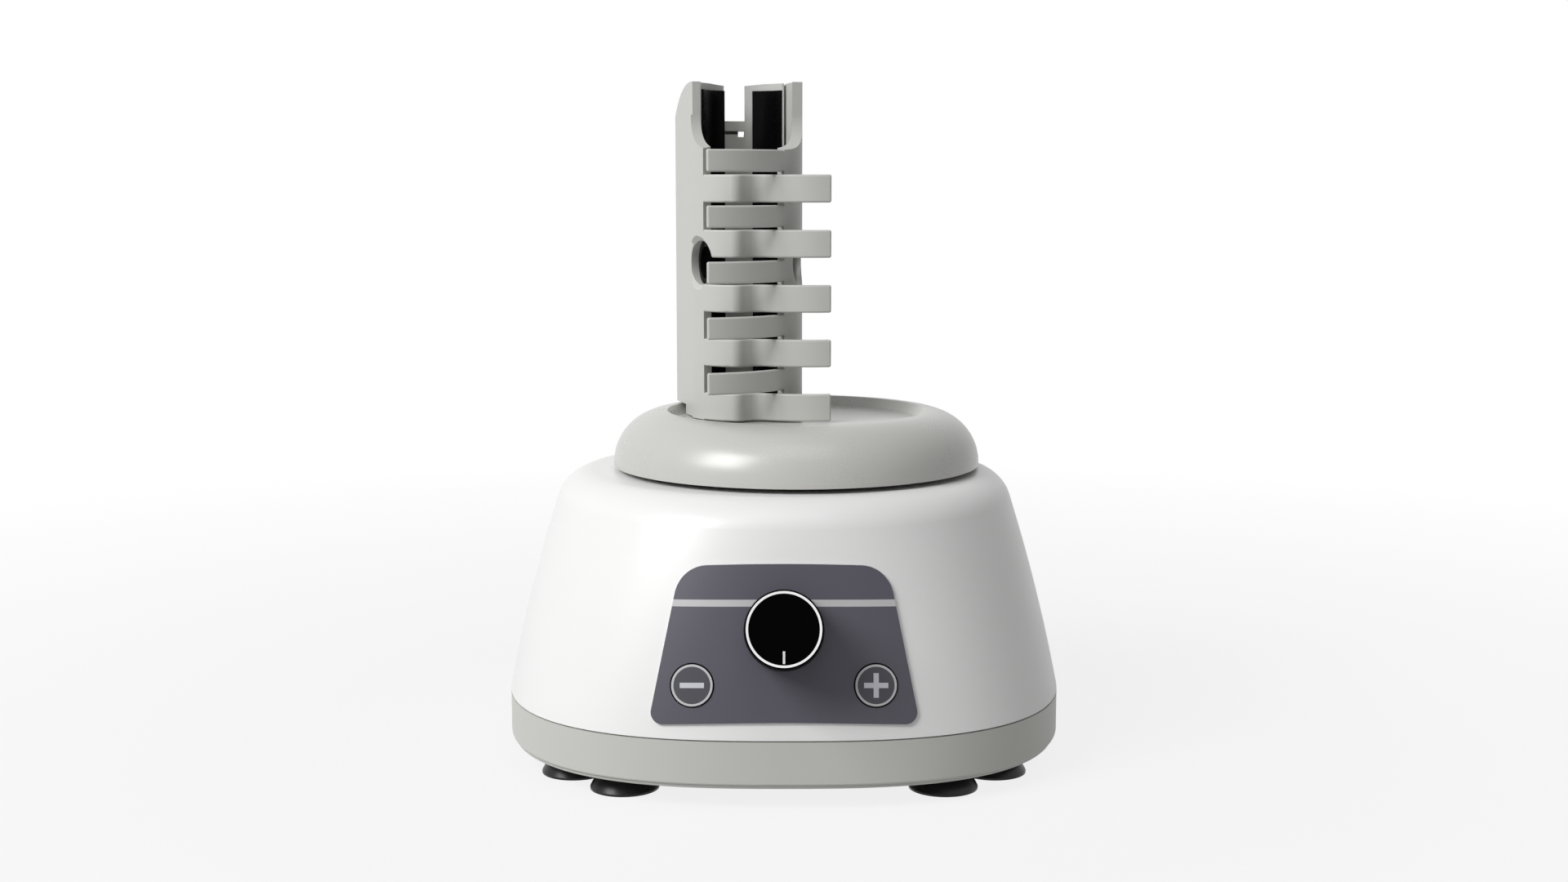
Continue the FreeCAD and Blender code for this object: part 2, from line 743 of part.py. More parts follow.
def housing():
    shell = outer_form.cut(body_form(WALL))
    inside = [cylinder(BOSS_R, seam_z, deck_z - 2 * WALL, x, y) for x, y in case_screw_places]
    inside.append(put(cylinder(POT_SEAT_R, -POT_SEAT, 0), panel))
    inside.append(put(cylinder(INLET_SEAT_R, -INLET_SEAT, 0), inlet_wall))
    inside += [put(cylinder(BOARD_POST_R, board_z, 0, x, y), panel) for x, y in board_posts]
    shell = join([shell] + [piece.common(mid_wall_form) for piece in inside])
    shell = shell.fuse(ring(DECK_HOLE_R, DECK_HOLE_R + COLLAR_T, deck_z - WALL, deck_z + COLLAR_H))
    tools = [cylinder(DECK_HOLE_R, deck_z - 2 * WALL, deck_z + COLLAR_H)]
    tools += [cylinder(SCREW_R, seam_z, seam_z + CASE_SCREW_GRIP, x, y) for x, y in case_screw_places]
    tools.append(put(cylinder(POT_BUSH_R, -2 * POT_SEAT, POT_SEAT), panel))
    tools.append(put(cylinder(INLET_BUSH_R, -2 * INLET_SEAT, INLET_SEAT), inlet_wall))
    tools += [key_hole(side) for side in key_sides.values()]
    tools += [put(cylinder(SMALL_SCREW_R, board_z, board_z + BOARD_SCREW_BITE, x, y), panel)
              for x, y in board_posts]
    return cut_all(shell, tools).removeSplitter()


def case_screws():
    seat = tray_z + 2 * SCREW_HEAD_H
    length = seam_z - seat + CASE_SCREW_GRIP
    return Part.makeCompound([screw(seat, length, x, y) for x, y in case_screw_places])


def key_hole(side):
    return put(cylinder(KEY_R + KEY_PLAY, KEY_FLANGE_Z, KEY_R, side * KEY_X, -KEY_DOWN), panel)


def panel_prism():
    """Trapezoid with rounded corners seen from the front, its long edges bowed to look straight."""
    y0 = -2 * BASE_HALF
    low = V(PANEL_LOW_HALF, y0, PANEL_LOW_Z - PANEL_DROOP)
    high = V(PANEL_HIGH_HALF, y0, PANEL_HIGH_Z - PANEL_DROOP)
    wire = outline(V(-PANEL_LOW_HALF, y0, PANEL_LOW_Z - PANEL_DROOP), [
        (V(0, y0, PANEL_LOW_Z), low), high,
        (V(0, y0, PANEL_HIGH_Z), V(-PANEL_HIGH_HALF, y0, PANEL_HIGH_Z - PANEL_DROOP))])
    prism = Part.Face(wire).extrude(V(0, 2 * BASE_HALF, 0))
    for radius, corner in ((PANEL_LOW_R, low), (PANEL_HIGH_R, high)):
        sides = [e for e in prism.Edges if abs(abs(e.CenterOfMass.x) - corner.x) < 1e-4
                 and abs(e.CenterOfMass.z - corner.z) < 1e-4]
        prism = prism.makeFillet(radius, sides)
    return prism


def panel_overlay():
    sheet = flank_form(-OVERLAY_T).common(panel_prism()).cut(flank_form(0))
    sheet = sheet.cut(put(cylinder(POT_BUSH_R, -POT_SEAT, POT_SEAT), panel))
    return cut_all(sheet, [key_hole(side) for side in key_sides.values()])


def key_form():
    return flank_form(-OVERLAY_T - KEY_PROUD)


def key(side):
    """Cap that follows the panel's curve, a flange behind the wall and a stem into the switch."""
    x = side * KEY_X
    cap = put(cylinder(KEY_R, KEY_FLANGE_Z - KEY_FLANGE_T, KEY_R, x, -KEY_DOWN), panel).common(key_form())
    stem_end = board_z + SWITCH_T - KEY_STEM_DIP
    back = cylinder(KEY_FLANGE_R, KEY_FLANGE_Z - KEY_FLANGE_T, KEY_FLANGE_Z, x, -KEY_DOWN)
    back = back.fuse(cylinder(KEY_STEM_R, stem_end, KEY_FLANGE_Z, x, -KEY_DOWN))
    return join([cap, put(back, panel)]).cut(key_sign(side))


def key_sign(side):
    """Minus or plus bar let into the key's cap."""
    x = side * KEY_X
    long_half = SIGN_L / 2
    thin_half = SIGN_W / 2
    y = -KEY_DOWN
    bar = box(x - long_half, x + long_half, y - thin_half, y + thin_half, -KEY_R, KEY_R)
    if side > 0:
        bar = bar.fuse(box(x - thin_half, x + thin_half, y - long_half, y + long_half, -KEY_R, KEY_R))
    return put(bar, panel).common(key_form()).cut(flank_form(SIGN_T - OVERLAY_T - KEY_PROUD))


def tact_switches():
    switches = []
    half = SWITCH_SIDE / 2
    for side in key_sides.values():
        x = side * KEY_X
        block = box(x - half, x + half, -KEY_DOWN - half, -KEY_DOWN + half, board_z, board_z + SWITCH_T)
        top = board_z + SWITCH_T
        bore = cylinder(KEY_STEM_R + KEY_PLAY, top - SWITCH_BORE_DEEP, top, x, -KEY_DOWN)
        switches.append(put(block.cut(bore), panel))
    return Part.makeCompound(switches)


def control_board():
    board = box(-BOARD_HALF, BOARD_HALF, -BOARD_DOWN, BOARD_UP, board_z - BOARD_T, board_z)
    tools = [cylinder(SMALL_SCREW_R, board_z - BOARD_T, board_z, x, y) for x, y in board_posts]
    return put(cut_all(board, tools), panel)


def board_screws():
    seat = board_z - BOARD_T
    length = BOARD_T + BOARD_SCREW_BITE
    return Part.makeCompound([put(small_screw(seat, length, x, y), panel) for x, y in board_posts])


knob_z = OVERLAY_T + KNOB_GAP
knob_face = knob_z + KNOB_H


def potentiometer():
    half = POT_SIDE / 2
    body = box(-half, half, -half, half, board_z, -POT_SEAT)
    bush = cylinder(POT_BUSH_R, -POT_SEAT, OVERLAY_T + POT_NUT_T + KNOB_GAP)
    whole = join([body, bush])
    return put(whole.cut(cylinder(POT_SHAFT_R + RUN_FIT, -POT_SEAT - POT_SHAFT_DEEP, knob_face)), panel)


def pot_nut():
    nut = hexagon(POT_NUT_R, OVERLAY_T, OVERLAY_T + POT_NUT_T)
    return put(nut.cut(cylinder(POT_BUSH_R, OVERLAY_T, OVERLAY_T + POT_NUT_T)), panel)


def pot_shaft():
    return put(cylinder(POT_SHAFT_R, -POT_SEAT - POT_SHAFT_DEEP + RUN_FIT, knob_face - KNOB_ROOF), panel)


def knob_ring_solid():
    low = knob_face - KNOB_RING_H
    return ring(KNOB_RING_R - KNOB_RING_W, KNOB_RING_R, low, knob_face + KNOB_RING_PROUD)


def pointer_bar():
    half = POINTER_W / 2
    return box(-half, half, -POINTER_OUT, -POINTER_IN, knob_face - POINTER_T, knob_face + KNOB_RING_PROUD)


def speed_knob():
    edge = KNOB_EDGE_R * (1 - math.sqrt(0.5))
    body = turned(V(KNOB_SKIRT_R, 0, knob_z), [
        V(KNOB_R, 0, knob_face - KNOB_EDGE_R),
        (V(KNOB_R - edge, 0, knob_face - edge), V(KNOB_R - KNOB_EDGE_R, 0, knob_face)),
        V(0, 0, knob_face), V(0, 0, knob_z)])
    body = body.cut(cylinder(KNOB_HOLLOW_R, knob_z, knob_z + KNOB_HOLLOW_H))
    body = body.cut(cylinder(POT_SHAFT_R, knob_z, knob_face - KNOB_ROOF))
    return put(cut_all(body, [knob_ring_solid(), pointer_bar()]), panel)


def dc_inlet():
    """Barrel socket: a flange outside, a bush through the wall and a body behind the nut."""
    flange = cylinder(INLET_FLANGE_R, 0, INLET_FLANGE_T)
    body = join([flange, cylinder(INLET_BUSH_R, INLET_FLANGE_T - INLET_L, 0)])
    bore = cylinder(INLET_BORE_R, INLET_FLANGE_T - INLET_BORE_L, INLET_FLANGE_T)
    pin = cylinder(INLET_PIN_R, INLET_FLANGE_T - INLET_L, INLET_FLANGE_T)
    return put(body.cut(bore).cut(pin), inlet_wall)


def dc_pin():
    low = INLET_FLANGE_T - INLET_L
    return put(cylinder(INLET_PIN_R, low, INLET_FLANGE_T - INLET_BORE_L + INLET_PIN_L), inlet_wall)


def dc_nut():
    nut = hexagon(INLET_NUT_R, -INLET_SEAT - INLET_NUT_T, -INLET_SEAT)
    return put(nut.cut(cylinder(INLET_BUSH_R, -INLET_SEAT - INLET_NUT_T, -INLET_SEAT)), inlet_wall)


def clamp_plate(grow):
    """Plate let into the dish under the column: round at the front, square behind, inside the dish's rim."""
    half = SPINE_HALF + grow
    front = GROOVE_R + grow
    back = CLAMP_BACK + grow
    low = dish_z - CLAMP_PLATE_T
    wire = outline(V(-half, back, low), [
        V(-half, 0, low), (V(0, -front, low), V(half, 0, low)), V(half, back, low)])
    plate = put(Part.Face(wire).extrude(V(0, 0, CLAMP_PLATE_T)), clamp)
    return plate.common(cylinder(HEAD_RIM_R - DISH_SLOPE + grow - PLATE_PLAY, low, dish_z, head_x))


def sector(inner, outer, first, last, z0, z1, side):
    """Part of a tube, with angles from the column's front, on its left (side -1) or right."""
    def at(radius, degrees):
        angle = math.radians(degrees)
        return V(side * radius * math.sin(angle), -radius * math.cos(angle), z0)
    middle = (first + last) / 2
    wire = outline(at(outer, first), [
        (at(outer, middle), at(outer, last)), at(inner, last), (at(inner, middle), at(inner, first))])
    return Part.Face(wire).extrude(V(0, 0, z1 - z0))


def rear_rounding():
    """Waste above the rounded rear top corner of the column, seen from the side."""
    top = clamp_top
    back = CLAMP_BACK
    turn = REAR_CORNER_R * (1 - math.sqrt(0.5))
    wide = 2 * CLAMP_R
    wire = outline(V(-wide, back + REAR_CORNER_R, top + REAR_CORNER_R), [
        V(-wide, back - REAR_CORNER_R, top + REAR_CORNER_R), V(-wide, back - REAR_CORNER_R, top),
        (V(-wide, back - turn, top - turn), V(-wide, back, top - REAR_CORNER_R)),
        V(-wide, back + REAR_CORNER_R, top - REAR_CORNER_R)])
    return Part.Face(wire).extrude(V(2 * wide, 0, 0))


def rear_slope():
    """Waste above the long arc in which a jaw's top falls to its back, seen from the side."""
    start = V(-2 * CLAMP_R, CLAMP_BACK - REAR_SLOPE_L, clamp_top)
    end = V(-2 * CLAMP_R, CLAMP_BACK, clamp_top - REAR_SLOPE_H)
    outward = V(0, REAR_SLOPE_H, REAR_SLOPE_L).normalize()
    far = REAR_SLOPE_H
    wire = outline(start, [
        ((start + end) / 2 + outward * REAR_SLOPE_BOW, end), end + V(0, far, 0),
        V(-2 * CLAMP_R, CLAMP_BACK + far, clamp_top + far), start + V(0, 0, far)])
    return Part.Face(wire).extrude(V(4 * CLAMP_R, 0, 0))


def front_scoop(front):
    """Waste above a jaw's fingers, in front of a given depth, with a round inner corner."""
    low = finger_top
    far = -2 * CLAMP_R
    turn = SCOOP_R * (1 - math.sqrt(0.5))
    wide = 2 * CLAMP_R
    wire = outline(V(-wide, far, low), [
        V(-wide, front - SCOOP_R, low), (V(-wide, front - turn, low + turn), V(-wide, front, low + SCOOP_R)),
        V(-wide, front, clamp_top + SCOOP_R), V(-wide, far, clamp_top + SCOOP_R)])
    return Part.Face(wire).extrude(V(2 * wide, 0, 0))


def vertical_edges(shape, corner):
    """Upright edges of a prism that stand on the given corner."""
    found = []
    for edge in shape.Edges:
        middle = edge.CenterOfMass
        upright = edge.BoundBox.ZLength > 1e-3
        if upright and math.hypot(middle.x - corner.x, middle.y - corner.y) < 1e-4:
            found.append(edge)
    return found


def meet(a, radius_a, b, radius_b, near):
    """Crossing of two circles about a and b, the one closer to a given point."""
    gap = b - a
    along = (radius_a ** 2 - radius_b ** 2 + gap.Length ** 2) / (2 * gap.Length)
    across = math.sqrt(radius_a ** 2 - along ** 2)
    foot = a + gap * (along / gap.Length)
    step = V(-gap.y, gap.x, 0) * (across / gap.Length)
    return min((foot + step, foot - step), key=near.distanceToPoint)


def mid_arc(centre, start, end):
    """Middle of the shorter arc about a centre."""
    reach = start - centre
    return centre + (reach + (end - centre)).normalize() * reach.Length


def from_front(side, degrees):
    """Direction square to the column's axis, at an angle from its front."""
    angle = math.radians(degrees)
    return V(side * math.sin(angle), -math.cos(angle), 0)


def finger(side, root, z0, z1):
    """One crossing finger: round the front, then bowed out to its tip. On the left a hollow that
    leads down to the tube lies between."""
    axis = V(0, 0, z0)
    hollow = axis + from_front(side, 0) * (VALLEY_R + VALLEY_CURVE)
    valley = axis + (from_front(side, 0) * VALLEY_R if side < 0 else from_front(side, RIGHT_VALLEY) * CLAMP_R)
    tip = V(LEFT_TIP_X if side < 0 else -RIGHT_TIP_X, -TIP_OUT, z0)
    chord = tip - valley
    bow_angle = math.radians(FINGER_BOW)
    bow_r = chord.Length / (2 * math.sin(bow_angle))
    tubeward = V(chord.y, -chord.x, 0).normalize() * side
    bow = valley + chord / 2 + tubeward * (bow_r * math.cos(bow_angle))

    def stations(depth):
        """Start of each arc at a depth below the outer side, with the arc's centre, and the tip."""
        wall_r, hollow_r, run_r = CLAMP_R - depth, VALLEY_CURVE + depth, bow_r - depth
        first = axis + from_front(side, root + FINGER_OVERLAP) * wall_r
        end = bow + (tip - bow) * (run_r / bow_r)
        if side > 0:
            return [(axis, first), (bow, meet(axis, wall_r, bow, run_r, valley)), (bow, end)]
        bend = meet(axis, wall_r, hollow, hollow_r, first)
        low = meet(hollow, hollow_r, bow, run_r, valley)
        return [(axis, first), (hollow, bend), (bow, low), (bow, end)]

    outer, inner = stations(0), stations(FINGER_T)
    path = [(mid_arc(centre, a, b), b) for (centre, a), (_, b) in zip(outer, outer[1:])]
    back = [(mid_arc(centre, a, b), a) for (centre, a), (_, b) in zip(inner, inner[1:])]
    wire = outline(outer[0][1], path + [inner[-1][1]] + back[::-1])
    bar = Part.Face(wire).extrude(V(0, 0, z1 - z0))
    rounds = [(VALLEY_EDGE_R, outer[-2][1]), (VALLEY_EDGE_R + FINGER_T, inner[-2][1])]
    rounds += [(FINGER_EDGE_R, outer[-1][1]), (FINGER_EDGE_R, inner[-1][1])]
    if side < 0:
        rounds += [(BEND_R, outer[1][1]), (BEND_R - FINGER_T, inner[1][1])]
    for radius, corner in rounds:
        bar = bar.makeFillet(radius, vertical_edges(bar, corner))
    return bar.makeFillet(FINGER_EDGE_R, [e for e in bar.Edges if e.BoundBox.ZLength < 1e-6])


def window(side, angle, radius):
    """Drill for a sight hole at an angle from the column's front, with a cone for its rim."""
    drill = cylinder(radius, 0, 2 * CLAMP_R)
    rim = Part.makeCone(radius, radius + 2 * WINDOW_CHAMFER, 2 * WINDOW_CHAMFER,
                        V(0, 0, CLAMP_R - 2 * WINDOW_CHAMFER))
    tool = drill.fuse(rim)
    tool.rotate(V(0, 0, 0), X_AXIS, 90)
    tool.rotate(V(0, 0, 0), Z_AXIS, side * angle)
    tool.translate(V(0, 0, window_z))
    return tool


def jaw(side, root, scoop, first_band, band, angle):
    """Side wall with a pinned barrel at the back, a comb of fingers at the front and a round window."""
    inner = CLAMP_R - CLAMP_WALL
    side_x = -CLAMP_R + SIDE_STEP
    wall = box(side_x, -inner, 0, CLAMP_BACK, jaw_z, clamp_top)
    web = box(side_x, -HINGE_X, WEB_FRONT, CLAMP_BACK, jaw_z, lug_z - BARREL_PLAY)
    barrel = cylinder(BARREL_R, jaw_z, lug_z - BARREL_PLAY, -HINGE_X, HINGE_BACK)
    frame = join([wall, web, barrel])
    if side > 0:
        frame = frame.mirror(V(0, 0, 0), X_AXIS)
    frame = join([frame, sector(inner, CLAMP_R, root, 90.0, jaw_z, clamp_top, side)])
    frame = cut_all(frame, [rear_slope(), front_scoop(scoop)])
    lows = [jaw_z + first_band + k * finger_pitch for k in range(PAIRS)]
    fingers = [finger(side, root, low, low + band) for low in lows]
    whole = join([frame] + fingers).cut(window(side, angle, WINDOW_R))
    x = side * HINGE_X
    whole = whole.cut(cylinder(HINGE_PIN_R + RUN_FIT, jaw_z, clamp_top, x, HINGE_BACK))
    spring_room = cylinder(BARREL_R + BARREL_PLAY, spring_z, spring_z + SPRING_H, x, HINGE_BACK)
    rim_room = ring(HEAD_RIM_R - DISH_SLOPE - JAW_ROOM, HEAD_R, dish_z, rim_z + JAW_LIFT, head_x)
    return put(whole.cut(spring_room), clamp).cut(rim_room)


def left_jaw():
    return jaw(-1, LEFT_ROOT, LEFT_SCOOP, 0.0, BROAD_FINGER, LEFT_WINDOW_ANGLE)


def right_jaw():
    low = BROAD_FINGER + FINGER_GAP
    return jaw(1, RIGHT_ROOT, RIGHT_SCOOP, low, SLIM_FINGER, RIGHT_WINDOW_ANGLE)


def liner(side, angle):
    """Thin rubber sheet inside the jaw: round at the front, flat along the side wall."""
    inner = CLAMP_R - CLAMP_WALL
    low = jaw_z + LINER_LIFT
    sheet = sector(inner - LINER_T, inner, LINER_FROM, 90.0, low, finger_top, side)
    flat = box(inner - LINER_T, inner, 0, LINER_BACK, low, finger_top)
    if side < 0:
        flat = flat.mirror(V(0, 0, 0), X_AXIS)
    return put(join([sheet, flat]).cut(window(side, angle, WINDOW_R - LINER_RIM)), clamp)


def left_liner():
    return liner(-1, LEFT_WINDOW_ANGLE)


def right_liner():
    return liner(1, RIGHT_WINDOW_ANGLE)


def pad_sector(side, z0, z1, inner):
    start = LEFT_PAD_FROM if side < 0 else RIGHT_PAD_FROM
    return sector(inner, GROOVE_R + PAD_POCKET, 180 - PAD_TO, 180 - start, z0, z1, side)


pad_z = jaw_z + PAD_LIFT
pad_top = clamp_top - PAD_FRAME


def notch(depth, low, high):
    """Waste of the notch as far back as a given depth: straight in the groove, then wider to the back."""
    half = NOTCH_HALF + (depth - NOTCH_WAIST) * NOTCH_FLARE
    wire = outline(V(-NOTCH_HALF, 0, low), [
        V(NOTCH_HALF, 0, low), V(NOTCH_HALF, NOTCH_WAIST, low), V(half, depth, low), V(-half, depth, low),
        V(-NOTCH_HALF, NOTCH_WAIST, low)])
    return Part.Face(wire).extrude(V(0, 0, high - low))


def peep_hole(low, high):
    """Slanting hole from the slit out of the back, along the notch's right side."""
    start = PEEP_X - CLAMP_BACK * NOTCH_FLARE
    wire = outline(V(start, 0, low), [
        V(start + PEEP_W, 0, low), V(PEEP_X + PEEP_W, CLAMP_BACK, low), V(PEEP_X, CLAMP_BACK, low)])
    return Part.Face(wire).extrude(V(0, 0, high - low))


def rear_bevel(side):
    """Waste of the bevel on one rear corner of the spine's block."""
    x = side * SPINE_HALF
    wire = outline(V(x, STRIP_FRONT - BEVEL_Y, dish_z), [
        V(x, STRIP_FRONT, dish_z), V(x - side * BEVEL_X, STRIP_FRONT, dish_z)])
    return Part.Face(wire).extrude(V(0, 0, CLAMP_H))


def clamp_spine():
    """Fixed back of the clamp: a groove for the tube, a notch, a slit, lugs for the pins, a plate."""
    low = dish_z - CLAMP_PLATE_T
    slit_z = clamp_top - NOTCH_DEPTH - SLIT_DROP
    block = box(-SPINE_HALF, SPINE_HALF, SPINE_FRONT, STRIP_FRONT, dish_z, clamp_top)
    block = cut_all(block, [rear_bevel(side) for side in (-1, 1)])
    strip = box(-STRIP_HALF, STRIP_HALF, SPINE_FRONT, CLAMP_BACK, dish_z, clamp_top)
    lug = box(-SPINE_HALF, SPINE_HALF, SPINE_FRONT, LUG_BACK, lug_z, lug_top)
    body = join([block, strip, lug]).cut(cylinder(GROOVE_R, dish_z, clamp_top))
    tools = [rear_rounding()]
    tools.append(notch(CLAMP_BACK, clamp_top - NOTCH_DEPTH, clamp_top))
    tools.append(notch(CLAMP_BACK - SLIT_WALL, slit_z - SLIT_H, slit_z))
    tools.append(peep_hole(slit_z - PEEP_H, slit_z))
    for side in (-1, 1):
        tools.append(pad_sector(side, pad_z, pad_top, GROOVE_R - PAD_POCKET))
        tools.append(cylinder(HINGE_PIN_R, low, lug_top, side * HINGE_X, HINGE_BACK))
    for x in clamp_screw_xs:
        tools.append(cylinder(SMALL_SCREW_R, low, dish_z + CLAMP_SCREW_GRIP, x, CLAMP_SCREW_BACK))
    body = join([put(body, clamp), clamp_plate(0)])
    return cut_all(body, [put(tool, clamp) for tool in tools]).removeSplitter()


def spine_pads():
    return Part.makeCompound([put(pad_sector(side, pad_z, pad_top, TUBE_R), clamp) for side in (-1, 1)])


def clamp_screws():
    length = dish_z - head_under + CLAMP_SCREW_GRIP
    return Part.makeCompound([put(small_screw(head_under, length, x, CLAMP_SCREW_BACK), clamp)
                              for x in clamp_screw_xs])


def hinge_pins():
    return Part.makeCompound([
        put(cylinder(HINGE_PIN_R, dish_z - CLAMP_PLATE_T, lug_top, side * HINGE_X, HINGE_BACK), clamp)
        for side in (-1, 1)])


def jaw_spring(side):
    """Closed coil on the hinge pin with a leg against the spine and a leg towards the jaw."""
    x = side * HINGE_X
    low = spring_z + BARREL_PLAY
    high = spring_z + SPRING_H - BARREL_PLAY
    outer = HINGE_PIN_R + RUN_FIT + SPRING_T
    coil = ring(HINGE_PIN_R + RUN_FIT, outer, low, high, x, HINGE_BACK)
    leg = cylinder(SPRING_T / 2, 0, SPRING_LEG)
    leg.rotate(V(0, 0, 0), X_AXIS, 90)
    leg.translate(V(x - side * (outer - SPRING_T / 2), HINGE_BACK, low + SPRING_T))
    return put(join([coil, leg]), clamp)


def left_jaw_spring():
    return jaw_spring(-1)


def right_jaw_spring():
    return jaw_spring(1)


makers = [
    base_tray, suction_feet, ballast_plate, ballast_screws, pillars, isolators, motor_plate, plate_screws,
    motor_can, motor_end_cap, motor_screws, motor_shaft, eccentric, grub_screw, counterweight, weight_screw,
    bearing_inner_ring, bearing_outer_ring, bearing_balls, bearing_clip, head_hub, hub_screws, head_dome,
    restraint_posts, housing, case_screws, panel_overlay, potentiometer, pot_nut, pot_shaft, speed_knob,
    tact_switches, control_board, board_screws, dc_inlet, dc_pin, dc_nut, left_jaw, right_jaw, left_liner,
    right_liner, clamp_spine, spine_pads, clamp_screws, hinge_pins, left_jaw_spring, right_jaw_spring]
solids = {maker.__name__: maker() for maker in makers}
solids["knob_ring"] = put(knob_ring_solid(), panel)
solids["knob_pointer"] = put(pointer_bar(), panel)
for name, side in key_sides.items():
    solids[name + "_key"] = key(side)
    solids[name + "_sign"] = key_sign(side)

os.makedirs("parts", exist_ok=True)
for name, shape in solids.items():
    shape.translate(V(0, AXIS_Y, 0))
    shape.exportStep("parts/" + name + ".step")
    print(name, len(shape.Solids), round(shape.Volume, 2), shape.isValid())
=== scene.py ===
import math
import bpy
import numpy as np
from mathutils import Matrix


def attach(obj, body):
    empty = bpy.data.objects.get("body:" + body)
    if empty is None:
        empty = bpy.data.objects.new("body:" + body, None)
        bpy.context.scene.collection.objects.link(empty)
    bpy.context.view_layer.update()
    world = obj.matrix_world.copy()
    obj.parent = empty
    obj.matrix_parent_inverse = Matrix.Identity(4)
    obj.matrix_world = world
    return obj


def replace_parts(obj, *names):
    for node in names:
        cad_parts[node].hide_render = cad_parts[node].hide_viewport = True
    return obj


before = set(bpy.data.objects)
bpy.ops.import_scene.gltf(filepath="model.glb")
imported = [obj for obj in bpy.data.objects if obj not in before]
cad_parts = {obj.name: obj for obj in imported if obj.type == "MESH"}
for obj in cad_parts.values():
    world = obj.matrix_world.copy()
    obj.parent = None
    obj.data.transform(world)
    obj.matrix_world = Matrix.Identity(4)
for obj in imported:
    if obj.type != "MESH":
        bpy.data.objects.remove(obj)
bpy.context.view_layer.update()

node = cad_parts


# Suction feet: soft black rubber cups, pressed in pairs through the tray's floor near its corners.
# Each is moulded in one piece, with a thin rim that grips the bench and a plug that snaps in above.
class Wire:
    """A socket in a material. Arithmetic on it adds Math nodes, and node() adds any other node."""

    def __init__(self, tree, socket=None):
        self.tree = tree
        self.socket = socket

    def node(self, kind, settings, sockets, output=0):
        """Add a node, set it up first, then give its sockets their values or links."""
        made = self.tree.nodes.new("ShaderNode" + kind)
        for key, value in settings.items():
            setattr(made, key, value)
        for key, value in sockets.items():
            if isinstance(value, Wire):
                self.tree.links.new(value.socket, made.inputs[key])
            else:
                made.inputs[key].default_value = value
        return Wire(self.tree, made.outputs[output])

    def maths(self, operation, *values):
        """Add a Math node of that operation on the values."""
        return self.node("Math", {"operation": operation}, dict(enumerate(values)))

    def __add__(self, other):
        return self.maths("ADD", self, other)

    def __radd__(self, other):
        return self.maths("ADD", other, self)

    def __sub__(self, other):
        return self.maths("SUBTRACT", self, other)

    def __rsub__(self, other):
        return self.maths("SUBTRACT", other, self)

    def __mul__(self, other):
        return self.maths("MULTIPLY", self, other)

    def __rmul__(self, other):
        return self.maths("MULTIPLY", other, self)

    def blend(self, low, high):
        """Colour between low and high by this value."""
        return self.node("Mix", {"data_type": "RGBA"}, {0: self, 6: low, 7: high}, 2)


def shade(colour, factor):
    """A colour of three numbers made darker or lighter, with full alpha."""
    return (colour[0] * factor, colour[1] * factor, colour[2] * factor, 1.0)


def new_finish(name, constants):
    """Material with one Principled shader; constants go on the shader's own sockets."""
    material = bpy.data.materials.new(name)
    material.use_nodes = True
    shader = material.node_tree.nodes["Principled BSDF"]
    for key, value in constants.items():
        shader.inputs[key].default_value = value
    return material, Wire(material.node_tree), shader


def feed(shader, **wires):
    """Link each wire to the shader socket of that name, with _ for a space."""
    for key, wire in wires.items():
        wire.tree.links.new(wire.socket, shader.inputs[key.replace("_", " ")])


def noise(pen, place, size, detail=2.0):
    """Cloudy value from 0 to 1 whose patches are about size metres across."""
    return pen.node("TexNoise", {}, {"Vector": place, "Scale": 1.0 / size, "Detail": detail}, "Fac")


def relief(pen, height, depth):
    """Normal for a surface that rises by depth metres where height goes from 0 to 1."""
    return pen.node("Bump", {}, {"Height": height, "Strength": 1.0, "Distance": depth}, "Normal")


def moulded(name, colour, gloss, grain, depth, mottle, constants):
    """Moulded stuff: eroded grain in the relief, a faint cloud in its colour and its roughness."""
    cloud_size, cloud_detail = 0.012, 4.0
    cloud_rough, grain_rough = 0.10, 0.06
    material, pen, shader = new_finish(name, constants)
    place = pen.node("TexCoord", {}, {}, "Object")
    cloud = noise(pen, place, cloud_size, cloud_detail)
    fine = noise(pen, place, grain)
    lowest_rough = gloss - (cloud_rough + grain_rough) / 2
    feed(shader, Base_Color=cloud.blend(shade(colour, 1 - mottle), shade(colour, 1 + mottle)),
         Roughness=cloud * cloud_rough + fine * grain_rough + lowest_rough,
         Normal=relief(pen, fine, depth))
    return material


def dress(material, *names):
    """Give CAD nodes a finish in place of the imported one."""
    for name in names:
        node[name].data.materials.clear()
        node[name].data.materials.append(material)


foot_rubber = moulded("foot_rubber", (0.006, 0.006, 0.0065), gloss=0.34, grain=0.0004, depth=0.00001,
                      mottle=0.25, constants={"Specular IOR Level": 0.35})
dress(foot_rubber, "suction_feet")


# Base tray: a shallow grey moulding that closes the case from below.
# A thin groove under its top edge makes the shadow line of the seam; four bosses take the case screws.
tray_grey = moulded("tray_grey", (0.590, 0.590, 0.558), gloss=0.46, grain=0.00035, depth=0.000006,
                    mottle=0.015, constants={"Specular IOR Level": 0.4})
dress(tray_grey, "base_tray")


# Ballast: a cast iron disc screwed to the tray so that the mixer doesn't wander.
# Sand-cast skin, dark and rough all over.
iron_dark = (0.10, 0.10, 0.105, 1.0)
iron_light = (0.27, 0.27, 0.28, 1.0)
iron_rough = 0.55
sand_size, sand_detail = 0.0011, 5.0
sand_rough = 0.2
sand_depth = 0.00012
cast_iron, pen, shader = new_finish("cast_iron", {"Metallic": 1.0})
place = pen.node("TexCoord", {}, {}, "Object")
sand = noise(pen, place, sand_size, sand_detail)
feed(shader, Base_Color=sand.blend(iron_dark, iron_light),
     Roughness=sand * sand_rough + iron_rough, Normal=relief(pen, sand, sand_depth))
dress(cast_iron, "ballast_plate")


